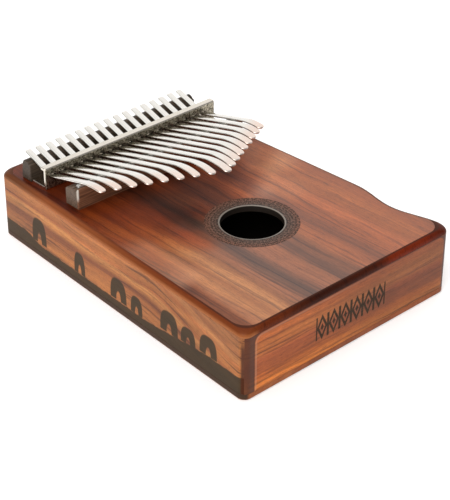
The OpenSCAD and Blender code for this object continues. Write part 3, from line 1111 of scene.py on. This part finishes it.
def cut(obj, shape):
    """Cuts a shape from a mesh and leaves a plain mesh with no modifier."""
    cutter = make_object("cutter", *shape, ())
    modifier = obj.modifiers.new("cut", "BOOLEAN")
    modifier.operation = "DIFFERENCE"
    modifier.solver = "EXACT"
    modifier.object = cutter
    bpy.context.view_layer.update()
    evaluated = obj.evaluated_get(bpy.context.evaluated_depsgraph_get())
    mesh = bpy.data.meshes.new_from_object(evaluated)
    obj.modifiers.clear()
    obj.data = mesh
    mesh.shade_smooth()
    mesh.set_sharp_from_angle(angle=math.radians(SHARP_DEG))
    bpy.data.objects.remove(cutter)


def build_bracket():
    x0 = BRACKET_SHIFT - BRACKET_LEN / 2
    shape = bar_x(bracket_profile(), x0, x0 + BRACKET_LEN, 0.2)
    obj = make_object("bracket_pressed", *shape, ("bracket_steel",))
    cut(obj, joined(slot_shape(tine_x(i)) for i in TINES))
    stand_for(obj, "tine_bracket", "bracket_steel")


def screw_shape():
    """A domed screw without its recess, standing on z = 0."""
    shank = [(1.2, -9.0), (1.2, -0.05)]
    head = [(2.3, 0.0), (2.3, 0.35), (2.15, 0.75), (1.7, 1.12), (1.05, 1.36), (0.4, 1.46)]
    return capped_lathe(shank + head, 32, lambda a, b, h: (a, b, h))


def recess_shape():
    """The cross recess as one tapered shape to cut away."""
    half, arm, quarter = 1.25, 0.26, math.pi / 2
    ring = []
    for k in range(4):
        c, s = math.cos(k * quarter), math.sin(k * quarter)
        ring += [(x * c - y * s, x * s + y * c) for x, y in ((half, -arm), (half, arm), (arm, arm))]
    return loft([[(x * 0.8, y * 0.8, 0.55) for x, y in ring], [(x, y, 2.0) for x, y in ring]])


def build_screws():
    """Four copies of one screw, each turned a little differently."""
    screw = make_object("screw", *screw_shape(), ("screw_steel",))
    cut(screw, recess_shape())
    one = [tuple(v.co / MM) for v in screw.data.vertices]
    faces = [tuple(p.vertices) for p in screw.data.polygons]
    bpy.data.objects.remove(screw)
    screws = []
    for k, place in enumerate(SCREW_PLACES):
        turn = math.radians(17 + 41 * k)
        c, s = math.cos(turn), math.sin(turn)
        x0, z0 = tine_x(place), DECK + SHEET
        points = [(x0 + x * c - y * s, SCREW_Y + x * s + y * c, z0 + z) for x, y, z in one]
        screws.append((points, faces))
    add_piece("screws", "bracket_screws", joined(screws), "screw_steel")


# ---- tines ----


def tine_x(i):
    return (i - MIDDLE_TINE) * TINE_PITCH


def tip_y(i):
    return LONGEST_TIP_Y + (LEFT_STEP if i < MIDDLE_TINE else RIGHT_STEP) * abs(i - MIDDLE_TINE)


def straight(slope, places):
    return [(y, line_z(y), slope) for y in places]


def bend(cy, cz, radius, slopes):
    """Points (y, z, slope) of a bend round (cy, cz); a negative radius runs below that middle."""
    return [(cy + radius * math.sin(a), cz + radius * math.cos(a), a) for a in slopes]


def tail_line():
    """The tail that rests on the rear bridge, and the bend in the bracket's slot."""
    set_back = VERTEX_R * math.tan((TAIL + RISE) / 2)
    cy = VERTEX_Y + set_back * math.cos(TAIL) - VERTEX_R * math.sin(TAIL)
    cz = VERTEX_Z + set_back * math.sin(TAIL) + VERTEX_R * math.cos(TAIL)
    places = [TAIL_END_Y - d for d in (0.0, 0.12, 0.4, 0.9)]
    places += spread(TAIL_END_Y - 1.6, cy + VERTEX_R * math.sin(TAIL) + 0.5, 8)
    return straight(-TAIL, places) + bend(cy, cz, -VERTEX_R, spread(-TAIL, RISE, 8))


def neutral_line(i):
    """Points (y, z, slope) along the middle of a tine, from the tuning end to the playing end."""
    turn = math.radians(TIP_BEND_DEG - abs(i - MIDDLE_TINE))
    start_y = tip_y(i) + TIP_BEND_R * (math.sin(RISE) + math.sin(turn - RISE))
    line = tail_line()
    slot_y = line[-1][0]
    steps = max(int((slot_y - start_y) / 1.6), 4)
    line += straight(RISE, spread(slot_y, start_y, steps)[1:])
    whole = TIP_BEND_R * turn
    lengths = spread(0.0, whole - PADDLE_W / 2, 12)[1:]
    lengths += [whole - d for d in (1.6, 1.1, 0.7, 0.35, 0.12, 0.01)]
    cy = start_y - TIP_BEND_R * math.sin(RISE)
    cz = line_z(start_y) - TIP_BEND_R * math.cos(RISE)
    return line + bend(cy, cz, TIP_BEND_R, [RISE - length / TIP_BEND_R for length in lengths])


def smooth(t):
    t = min(max(t, 0.0), 1.0)
    return t * t * (3 - 2 * t)


def tine_half_width(i, y):
    """Half the width: a wider playing end with a round tip, and a tail that narrows at its very end."""
    from_tip = max(y - tip_y(i), 0.0)
    from_tail = max(TAIL_END_Y - y, 0.0)
    half = PADDLE_W / 2 + (NECK_W - PADDLE_W) / 2 * smooth((from_tip - 8) / 8)
    if from_tip < PADDLE_W / 2:
        half = math.sqrt(max(half**2 - (half - from_tip) ** 2, 0.01))
    if from_tail < 0.9:
        half -= 0.5 * (1 - from_tail / 0.9) ** 2
    return half


def tine_half_thick(i, y):
    """Half the thickness: thinner towards the playing end, and eased at both ends."""
    from_tip = y - tip_y(i)
    half = TINE_T / 2 * (0.80 + 0.20 * smooth((from_tip - 6) / 12))
    end = min(max(from_tip, 0.0), max(TAIL_END_Y - y, 0.0))
    return half * (0.55 + 0.45 * smooth(end / 0.5))


def tine_section(half_width, half_thick):
    """A flat bar's section with rounded edges, as (across, up)."""
    r = min(half_thick * 0.85, half_width * 0.9)
    w, t = half_width - r, half_thick - r
    corners = ((w, t, 0), (-w, t, 90), (-w, -t, 180), (w, -t, 270))
    return [point for a, b, start in corners for point in arc(a, b, r, start, start + 90, 3)]


def build_tine(i):
    name = f"tine_{i:02d}"
    x0 = tine_x(i)
    rings = []
    for y, z, a in neutral_line(i):
        section = tine_section(tine_half_width(i, y), tine_half_thick(i, y))
        rings.append([(x0 + across, y + up * math.sin(a), z + up * math.cos(a)) for across, up in section])
    obj = make_object(name + "_forged", *loft(rings), ("tine_steel",), sharp_deg=60)
    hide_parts(name)
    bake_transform(obj)


# ---- floor, lights and camera ----

# In metres
FLOOR_REACH, FLOOR_Z = 6.0, -0.0002
CAMERA_PLACE, CAMERA_AIM = (-0.453369, -0.499965, 0.426336), (-0.00681, -0.016448, 0.018)

FLOOR_DIM, FLOOR_BRIGHT, FLOOR_GLOW = (0.86, 0.86, 0.86), (0.90, 0.90, 0.90), 0.26
SKY_TOWARDS, SKY_DIM, SKY_BRIGHT = (0.66, 0.70, 0.28), 0.28, 1.0
CAMERA_LENS, CAMERA_SENSOR, CAMERA_ROLL_DEG = 117.466, 36.0, 0.135
WHITE = (1.0, 1.0, 1.0)


def build_floor():
    mesh = bpy.data.meshes.new("floor")
    corners = ((-1, -1), (1, -1), (1, 1), (-1, 1))
    points = [(x * FLOOR_REACH, y * FLOOR_REACH, FLOOR_Z) for x, y in corners]
    mesh.from_pydata(points, [], [(0, 1, 2, 3)])
    floor = bpy.data.objects.new("floor", mesh)
    bpy.context.scene.collection.objects.link(floor)
    s = Shader("floor_paper", roughness=0.9, specular=0.1)
    speck = s.noise(s.combine(s.mul(s.x, 0.02), s.mul(s.y, 0.02), 0.0), 2.0)
    s.colour(s.mix(speck, FLOOR_DIM, FLOOR_BRIGHT))
    s.link(WHITE, s.bsdf.inputs["Emission Color"])
    s.link(FLOOR_GLOW, s.bsdf.inputs["Emission Strength"])
    mesh.materials.append(s.material)


def add_sky():
    """A bright backdrop behind the right of the object, and a dimmer studio elsewhere."""
    world = bpy.data.worlds.new("studio")
    world.use_nodes = True
    tree = world.node_tree
    towards = tree.nodes.new("ShaderNodeVectorMath")
    towards.operation = "DOT_PRODUCT"
    towards.inputs[1].default_value = Vector(SKY_TOWARDS).normalized()
    tree.links.new(tree.nodes.new("ShaderNodeTexCoord").outputs["Generated"], towards.inputs[0])
    brightness = tree.nodes.new("ShaderNodeMapRange")
    brightness.interpolation_type = "SMOOTHSTEP"
    limits = {"From Min": 0.35, "From Max": 0.80, "To Min": SKY_DIM, "To Max": SKY_BRIGHT}
    for name, value in limits.items():
        brightness.inputs[name].default_value = value
    tree.links.new(towards.outputs["Value"], brightness.inputs["Value"])
    seen = tree.nodes.new("ShaderNodeMath")
    seen.operation = "MAXIMUM"
    tree.links.new(brightness.outputs["Result"], seen.inputs[0])
    tree.links.new(tree.nodes.new("ShaderNodeLightPath").outputs["Is Camera Ray"], seen.inputs[1])
    tree.links.new(seen.outputs[0], tree.nodes["Background"].inputs["Strength"])
    tree.nodes["Background"].inputs["Color"].default_value = (*WHITE, 1.0)
    bpy.context.scene.world = world


def add_sun(name, direction, angle_deg, strength, colour=WHITE):
    """A broad soft light that shines from the given direction."""
    light = bpy.data.lights.new(name, "SUN")
    light.angle = math.radians(angle_deg)
    light.energy = strength
    light.color = colour
    lamp = bpy.data.objects.new(name, light)
    bpy.context.scene.collection.objects.link(lamp)
    lamp.rotation_euler = Vector(direction).to_track_quat("Z", "Y").to_euler()


def light_scene():
    add_sky()
    add_sun("key_left", (-0.80, -0.35, 0.70), angle_deg=50, strength=2.1, colour=(1.0, 0.985, 0.96))
    add_sun("top_fill", (-0.25, -0.15, 1.0), angle_deg=70, strength=0.8)


def add_camera():
    camera = bpy.data.cameras.new("camera")
    camera.sensor_fit = "VERTICAL"
    camera.sensor_height = CAMERA_SENSOR
    camera.lens = CAMERA_LENS
    camera.clip_end = 50.0
    obj = bpy.data.objects.new("camera", camera)
    bpy.context.scene.collection.objects.link(obj)
    obj.location = CAMERA_PLACE
    look = (Vector(CAMERA_AIM) - Vector(CAMERA_PLACE)).to_track_quat("-Z", "Y")
    obj.rotation_mode = "QUATERNION"
    obj.rotation_quaternion = look @ Quaternion((0, 0, 1), math.radians(CAMERA_ROLL_DEG))
    bpy.context.scene.camera = obj


def build_all():
    dress_nodes()
    build_walls()
    build_back()
    build_binding()
    build_hole_ring()
    build_front_bridge()
    build_rod()
    build_rear_bridge()
    build_bracket()
    build_screws()
    for i in TINES:
        build_tine(i)
    build_floor()
    light_scene()
    add_camera()
    bpy.context.scene.view_settings.view_transform = "Standard"


build_all()
